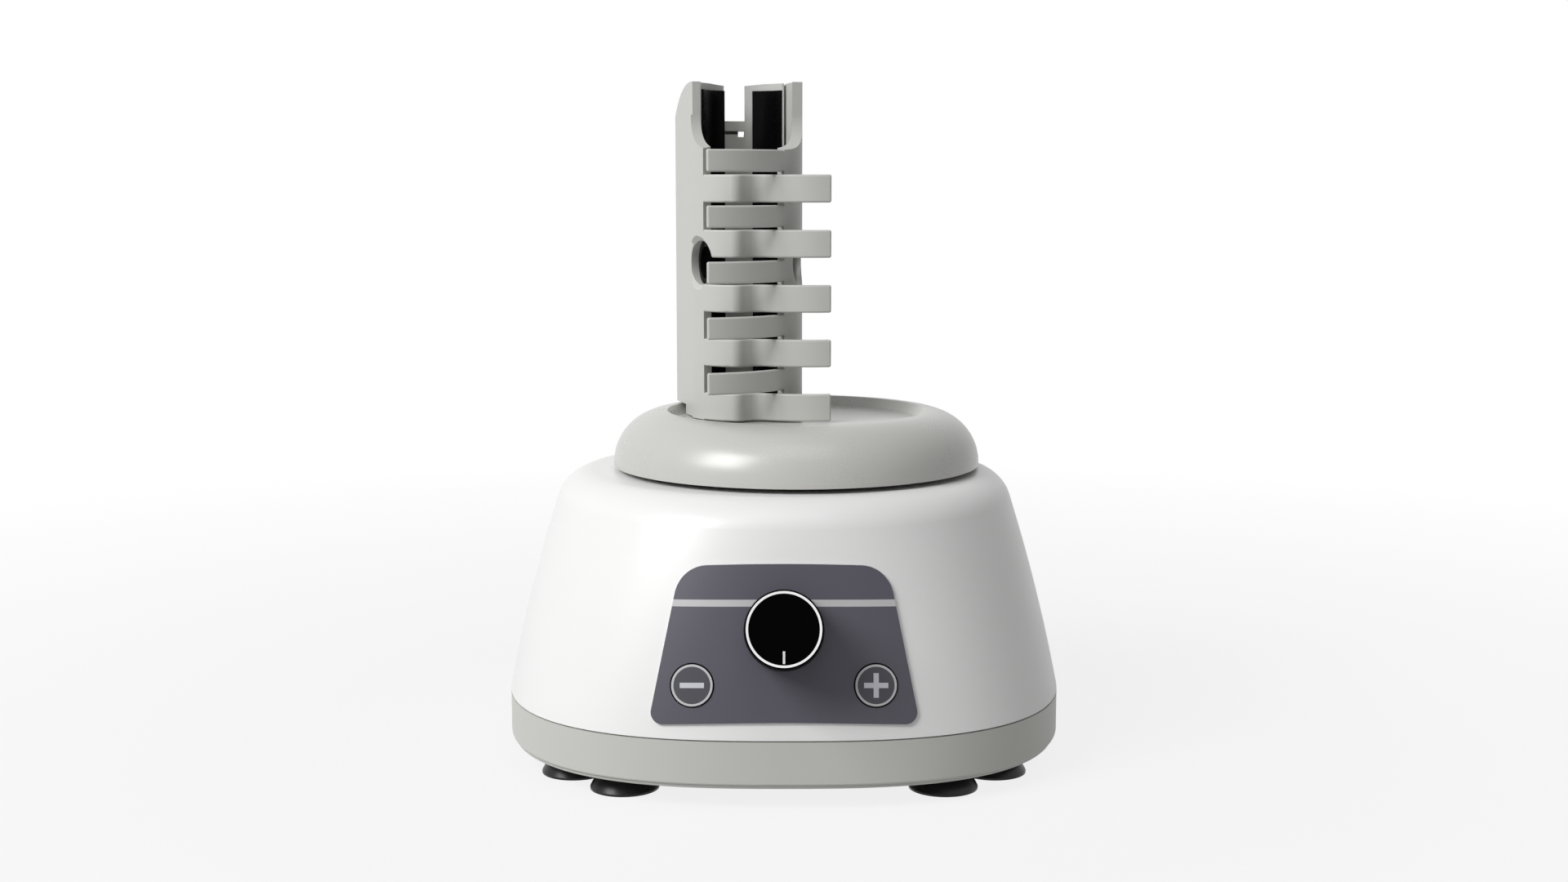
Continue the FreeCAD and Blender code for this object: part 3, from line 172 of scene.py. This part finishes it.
# Pillars, plate, motor can, shaft and hinge pins: plain turned and rolled steel.
# Fine lines run round the pieces' upright axes, as a lathe leaves them.
def worked_metal(name, colour, gloss, line, depth):
    """Bright metal with tool lines: bands across Z broken up by a little noise."""
    line_stretch = (0.15, 0.15, 1.0)
    stain_size, detail = 0.006, 3.0
    stain_low, stain_high = 0.88, 1.08
    line_rough, stain_rough = 0.14, 0.10
    material, pen, shader = new_finish(name, {"Metallic": 1.0})
    place = pen.node("TexCoord", {}, {}, "Object")
    stretched = pen.node("Mapping", {}, {"Vector": place, "Scale": line_stretch})
    lines = noise(pen, stretched, line, detail)
    stain = noise(pen, place, stain_size, detail)
    lowest_rough = gloss - (line_rough + stain_rough) / 2
    feed(shader, Base_Color=stain.blend(shade(colour, stain_low), shade(colour, stain_high)),
         Roughness=lines * line_rough + stain * stain_rough + lowest_rough,
         Normal=relief(pen, lines, depth))
    return material


turned_steel = worked_metal("turned_steel", (0.56, 0.57, 0.58), gloss=0.32, line=0.0003, depth=0.00001)
dress(turned_steel, "pillars", "motor_plate", "motor_can", "motor_shaft", "hinge_pins", "bearing_clip")


# Screws: zinc plated socket heads, all of a kind in each place.
# The plating is pale and slightly blue.
zinc_plate = worked_metal("zinc_plate", (0.60, 0.61, 0.64), gloss=0.36, line=0.0002, depth=0.000008)
dress(zinc_plate, "ballast_screws", "plate_screws", "motor_screws", "grub_screw", "weight_screw",
      "hub_screws", "case_screws", "board_screws", "clamp_screws")


# Isolators and restraint posts: black rubber between the pillars and the plate, and from deck to head.
# Matt moulded rubber with a faint bloom.
mount_rubber = moulded("mount_rubber", (0.035, 0.035, 0.036), gloss=0.72, grain=0.0006, depth=0.00003,
                       mottle=0.3, constants={"Specular IOR Level": 0.3})
dress(mount_rubber, "isolators", "restraint_posts")


# Motor end cap: black moulded plastic at the motor's lower end.
# Glass-filled, so its skin is slightly rough.
cap_black = moulded("cap_black", (0.030, 0.030, 0.032), gloss=0.55, grain=0.0004, depth=0.00002,
                    mottle=0.2, constants={})
dress(cap_black, "motor_end_cap")


# Eccentric and hub: turned aluminium, the drum with its crank pin and the cup for the bearing.
# Lathe lines show on the drum's side.
turned_aluminium = worked_metal("turned_aluminium", (0.74, 0.75, 0.76), gloss=0.34, line=0.00025,
                                depth=0.000012)
dress(turned_aluminium, "eccentric", "head_hub")


# Counterweight: a half ring of sawn and faced brass, bolted against the drum opposite the pin.
# Unlacquered, so it has darkened unevenly.
counter_brass = worked_metal("counter_brass", (0.68, 0.50, 0.22), gloss=0.38, line=0.0003, depth=0.000012)
dress(counter_brass, "counterweight")


# Ball bearing: ground and polished rings with seven balls, held on the crank pin by a spring clip.
# The steel is bright and hard, with hardly any tool marks left.
bearing_steel = worked_metal("bearing_steel", (0.70, 0.70, 0.71), gloss=0.20, line=0.00015, depth=0.000003)
dress(bearing_steel, "bearing_inner_ring", "bearing_outer_ring", "bearing_balls")


# Head: a grey moulded cap with a round shoulder and a dished top, screwed to the hub.
# Its skin is smoother and shinier than the tray's, so the shoulder carries a clear highlight.
head_grey = moulded("head_grey", (0.535, 0.535, 0.510), gloss=0.29, grain=0.0003, depth=0.000003,
                    mottle=0.015, constants={"Specular IOR Level": 0.65})
dress(head_grey, "head_dome")


# Housing: the white upper shell, moulded in one piece with the deck and its collar.
# Polished tool, so the skin is smooth and satin with a soft sheen.
shell_white = moulded("shell_white", (0.86, 0.86, 0.855), gloss=0.36, grain=0.0005, depth=0.000002,
                      mottle=0.008, constants={"Specular IOR Level": 0.45, "Coat Weight": 0.08,
                                               "Coat Roughness": 0.25})
dress(shell_white, "housing")


# Panel film: a dark printed film stuck on the front, with one pale stripe across it.
# The colour is printed behind a fine matt lacquer; the film's cut edge is painted pale as a painted
# highlight along its rim.
stripe_z = 0.0373
stripe_droop = 1.25
stripe_half = 0.00060
# Faces whose normal's Y part lies within this of nought get the painted highlight on the film's cut edge.
highlight_facing = 0.3
film_dark = (0.093, 0.089, 0.112)
# Pale of the printed stripe and key rings, also used on the film's cut edge as a painted highlight.
print_and_highlight_pale = (0.55, 0.55, 0.56, 1.0)


def printed_film(name, dark, draw_print_and_highlight):
    """Lacquered film: fine matt grain, a faint cloud, and pale colour where the drawing gives 1: print,
    and on the panel also a painted highlight along the cut edge.
    """
    cloud_size, cloud_detail, mottle = 0.02, 3.0, 0.06
    grain, grain_depth, grain_rough = 0.00018, 0.000003, 0.12
    lowest_rough = 0.38
    material, pen, shader = new_finish(name, {"Specular IOR Level": 0.35})
    place = pen.node("TexCoord", {}, {}, "Object")
    cloud = noise(pen, place, cloud_size, cloud_detail)
    fine = noise(pen, place, grain)
    ground = cloud.blend(shade(dark, 1 - mottle), shade(dark, 1 + mottle))
    feed(shader, Base_Color=draw_print_and_highlight(pen, place).blend(ground, print_and_highlight_pale),
         Roughness=fine * grain_rough + lowest_rough, Normal=relief(pen, fine, grain_depth))
    return material


def stripe_print_and_edge_highlight(pen, place):
    """One where the height, raised by droop * x squared, lies in the printed stripe, which sinks to its
    ends with the film's edges, or where the face looks sideways, along the cut edge, as a painted
    highlight."""
    across = pen.node("SeparateXYZ", {}, {"Vector": place}, "X")
    height = pen.node("SeparateXYZ", {}, {"Vector": place}, "Z")
    stripe = pen.maths("COMPARE", height + across * across * stripe_droop, stripe_z, stripe_half)
    facing = pen.node("SeparateXYZ", {}, {"Vector": pen.node("TexCoord", {}, {}, "Normal")}, "Y")
    # Painted highlight: sideways-looking faces, the film's cut edge, take the pale colour.
    edge_highlight = pen.maths("COMPARE", facing, 0.0, highlight_facing)
    return pen.maths("MAXIMUM", stripe, edge_highlight)


dress(printed_film("panel_film", film_dark, stripe_print_and_edge_highlight), "panel_overlay")


# Speed knob: a black moulded knob with a bright trim ring let into its face and a white line as a mark.
# It sits on the potentiometer's shaft; the ring is plated.
knob_black = moulded("knob_black", (0.0012, 0.0012, 0.0014), gloss=0.34, grain=0.0003, depth=0.000004,
                     mottle=0.2, constants={"Specular IOR Level": 0.01})
dress(knob_black, "speed_knob")
trim_bright = worked_metal("trim_bright", (0.86, 0.86, 0.87), gloss=0.22, line=0.0004, depth=0.000002)
dress(trim_bright, "knob_ring")
mark_white = moulded("mark_white", (0.80, 0.80, 0.81), gloss=0.40, grain=0.0002, depth=0.000002,
                     mottle=0.02, constants={})
dress(mark_white, "knob_pointer")


# Keys: two round keys in the film, a shade darker than it, each with a pale ring near its edge.
# The minus and plus bars are let into the caps.
key_x = 0.0166
key_down = 0.0098
key_ring = 0.00355
key_ring_half = 0.00020
key_dark = (0.066, 0.066, 0.078)
panel_point = (0.0, -0.0467203, 0.0324)
panel_outward = 0.969744
panel_upward = 0.244125
panel_tilt = math.atan2(panel_upward, panel_outward)


def ring_print(side):
    """Print for one key: one where the distance from the key's axis is that of its ring."""
    def draw(pen, place):
        square_on = pen.node("VectorRotate", {"rotation_type": "X_AXIS"},
                             {"Vector": place, "Center": panel_point, "Angle": panel_tilt})
        flat = pen.node("VectorMath", {"operation": "MULTIPLY"}, {0: square_on, 1: (1.0, 0.0, 1.0)})
        middle = (side * key_x, 0.0, panel_point[2] - key_down)
        reach = pen.node("VectorMath", {"operation": "DISTANCE"}, {0: flat, 1: middle}, "Value")
        return pen.maths("COMPARE", reach, key_ring, key_ring_half)
    return draw


dress(printed_film("minus_key_film", key_dark, ring_print(-1)), "minus_key")
dress(printed_film("plus_key_film", key_dark, ring_print(1)), "plus_key")
sign_lilac = moulded("sign_lilac", (0.60, 0.60, 0.65), gloss=0.35, grain=0.0002, depth=0.000002,
                     mottle=0.03, constants={})
dress(sign_lilac, "minus_sign", "plus_sign")


# Electric parts: the power inlet in the back wall, and the potentiometer and switches on their board.
# Black moulded bodies, plated contacts and a green lacquered board.
inlet_black = moulded("inlet_black", (0.020, 0.020, 0.021), gloss=0.34, grain=0.0004, depth=0.00001,
                      mottle=0.2, constants={})
dress(inlet_black, "dc_inlet", "potentiometer", "tact_switches")
contact_brass = worked_metal("contact_brass", (0.74, 0.62, 0.36), gloss=0.28, line=0.0002, depth=0.000006)
dress(contact_brass, "dc_pin", "dc_nut", "pot_nut", "pot_shaft")
board_green = moulded("board_green", (0.030, 0.150, 0.075), gloss=0.30, grain=0.0006, depth=0.00001,
                      mottle=0.15, constants={})
dress(board_green, "control_board")


# Tube clamp: a fixed spine and two pinned jaws with crossing fingers, all moulded in a pale warm grey.
# Pinching the finger ends opens the jaws against springs round the pins.
clamp_grey = moulded("clamp_grey", (0.580, 0.580, 0.555), gloss=0.42, grain=0.0003, depth=0.000003,
                     mottle=0.015, constants={"Specular IOR Level": 0.3})
dress(clamp_grey, "clamp_spine", "left_jaw", "right_jaw")


# Grip pads and liners: black rubber that holds the tube, glued into the spine and the jaws.
# Its skin is smooth and a little wavy, so it shines in soft streaks.
grip_rubber = moulded("grip_rubber", (0.0022, 0.0022, 0.0025), gloss=0.28, grain=0.0012, depth=0.00004,
                      mottle=0.3, constants={"Specular IOR Level": 0.06})
dress(grip_rubber, "spine_pads", "left_liner", "right_liner")


# Jaw springs: torsion springs wound from round steel wire, one on each hinge pin.
# One leg bears on the spine, the shorter one reaches under the jaw's web.
clamp_turn = math.radians(17.0)
clamp_middle = (-0.0077, 0.0071)
hinge_x = 0.0076
hinge_back = 0.0109
spring_low = 0.0895
spring_high = 0.0959
spring_coil = 0.00110
spring_wire = 0.00024
spring_clear = 2 * spring_wire
spring_turns = 11.0
spring_leg = 0.0020
short_leg_share = 0.5
coil_points = 360
leg_points, leg_nearest = 12, 0.02
wire_sides = 10


def wire_skin(name, path, radius, material):
    """Round wire along a path, with flat ends. A point of its skin is the path's point plus
    radius * (cos a * up + sin a * across), where up and across stand square to the path."""
    along = np.gradient(path, axis=0)
    along /= np.linalg.norm(along, axis=1, keepdims=True)
    up = np.array([0.0, 0.0, 1.0]) - along[:, 2:] * along
    up /= np.linalg.norm(up, axis=1, keepdims=True)
    across = np.cross(along, up)
    angle = np.linspace(0.0, 2 * math.pi, wire_sides, endpoint=False)[None, :, None]
    skin = path[:, None] + radius * (np.cos(angle) * up[:, None] + np.sin(angle) * across[:, None])
    rows, columns = skin.shape[:2]
    here = np.arange(rows - 1)[:, None] * columns
    ring = np.arange(columns)[None, :]
    beside = (ring + 1) % columns
    quads = np.stack([here + ring, here + beside, here + columns + beside, here + columns + ring], axis=-1)
    last = (rows - 1) * columns
    mesh = bpy.data.meshes.new(name)
    mesh.from_pydata(skin.reshape(-1, 3).tolist(), [], quads.reshape(-1, 4).tolist()
                     + [ring[0, ::-1].tolist(), (last + ring[0]).tolist()])
    mesh.polygons.foreach_set("use_smooth", np.arange(len(mesh.polygons)) < quads[..., 0].size)
    mesh.materials.append(material)
    piece = bpy.data.objects.new(name, mesh)
    bpy.context.scene.collection.objects.link(piece)
    return piece


def wound_spring(name, side):
    """Path of the wire: a straight leg, a helix about the pin, whose height grows with its turn,
    and a second leg; then the whole is turned with the clamp and put in its place."""
    turn = np.linspace(0.0, 2 * math.pi * spring_turns, coil_points)
    coil_height = spring_high - spring_low - 2 * spring_clear
    height = spring_low + spring_clear + coil_height * turn / turn[-1]
    helix = np.stack([-side * spring_coil * np.cos(turn), spring_coil * np.sin(turn), height], axis=1)
    leg = np.linspace(1.0, leg_nearest, leg_points)[:, None] * np.array([[0.0, -spring_leg, 0.0]])
    path = np.concatenate([helix[:1] + leg, helix, helix[-1:] - leg[::-1] * short_leg_share])
    path += np.array([side * hinge_x, hinge_back, 0.0])
    cos_turn, sin_turn = math.cos(clamp_turn), math.sin(clamp_turn)
    path = np.stack([clamp_middle[0] + path[:, 0] * cos_turn - path[:, 1] * sin_turn,
                     clamp_middle[1] + path[:, 0] * sin_turn + path[:, 1] * cos_turn, path[:, 2]], axis=1)
    piece = wire_skin(name, path, spring_wire, turned_steel)
    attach(piece, "head")
    return piece


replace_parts(wound_spring("left_coil_spring", -1), "left_jaw_spring")
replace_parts(wound_spring("right_coil_spring", 1), "right_jaw_spring")


# Studio: a pale floor that runs to white, a soft light high on the left and a weaker one above.
# The camera stands where the photograph was taken from.
floor_half = 4.0
floor_dark = (0.53, 0.53, 0.53, 1.0)
floor_light = (0.57, 0.57, 0.57, 1.0)
floor_cloud = 0.4
near_reach, far_reach = 0.10, 0.40
near_white, far_white = 0.84, 1.0
plain_white = (1.0, 1.0, 1.0, 1.0)
air_level = 0.20
lamp_aim = (0.0, 0.0, 0.06)
camera_dip = 0.131

floor_mesh = bpy.data.meshes.new("studio_floor")
floor_mesh.from_pydata([(-floor_half, -floor_half, 0), (floor_half, -floor_half, 0),
                        (floor_half, floor_half, 0), (-floor_half, floor_half, 0)], [], [(0, 1, 2, 3)])
floor = bpy.data.objects.new("studio_floor", floor_mesh)
bpy.context.scene.collection.objects.link(floor)


def seen_plainly(pen):
    """One for the rays that show the backdrop itself, nought for those that carry its light."""
    kinds = [pen.node("LightPath", {}, {}, kind)
             for kind in ("Is Camera Ray", "Is Glossy Ray", "Is Transmission Ray")]
    return pen.maths("MAXIMUM", pen.maths("MAXIMUM", kinds[0], kinds[1]), kinds[2])


floor_pale, pen, shader = new_finish("floor_pale", {"Roughness": 0.9, "Specular IOR Level": 0.1})
place = pen.node("TexCoord", {}, {}, "Object")
feed(shader, Base_Color=noise(pen, place, floor_cloud).blend(floor_dark, floor_light))
reach = pen.node("VectorMath", {"operation": "LENGTH"}, {0: place}, "Value")
whiteness = pen.node("MapRange", {}, {"Value": reach, "From Min": near_reach, "From Max": far_reach,
                                      "To Min": near_white, "To Max": far_white})
glow = pen.node("Emission", {}, {"Color": plain_white, "Strength": 1.0})
lit = Wire(pen.tree, shader.outputs[0])
lifted = pen.node("MixShader", {}, {0: seen_plainly(pen) * whiteness, 1: lit, 2: glow})
pen.tree.links.new(lifted.socket, pen.tree.nodes["Material Output"].inputs["Surface"])
floor_mesh.materials.append(floor_pale)

world = bpy.data.worlds.new("studio_air")
world.use_nodes = True
bpy.context.scene.world = world
air = Wire(world.node_tree)
back = world.node_tree.nodes["Background"]
back.inputs["Color"].default_value = plain_white
strength = seen_plainly(air) * (1 - air_level) + air_level
world.node_tree.links.new(strength.socket, back.inputs["Strength"])


def lamp(name, at, aim, size, power):
    """Square area lamp at a place, turned to its aim."""
    light = bpy.data.lights.new(name, "AREA")
    light.size = size
    light.energy = power
    stand = bpy.data.objects.new(name, light)
    bpy.context.scene.collection.objects.link(stand)
    stand.location = at
    away = np.array(at) - np.array(aim)
    stand.rotation_euler = (math.acos(away[2] / np.linalg.norm(away)), 0.0, math.atan2(away[0], -away[1]))


lamp("left_softbox", (-0.75, -0.58, 0.80), lamp_aim, size=0.56, power=11.5)
lamp("top_softbox", (0.0, -0.40, 1.00), lamp_aim, size=0.6, power=1.2)

lens = bpy.data.cameras.new("photo_camera")
lens.sensor_width = 36.0
lens.lens = 45.29
lens.clip_start = 0.01
camera = bpy.data.objects.new("photo_camera", lens)
bpy.context.scene.collection.objects.link(camera)
camera.location = (0.0, -0.3950, 0.1128)
camera.rotation_euler = (math.pi / 2 - camera_dip, 0.0, 0.0)
bpy.context.scene.camera = camera
bpy.context.scene.view_settings.view_transform = "Standard"
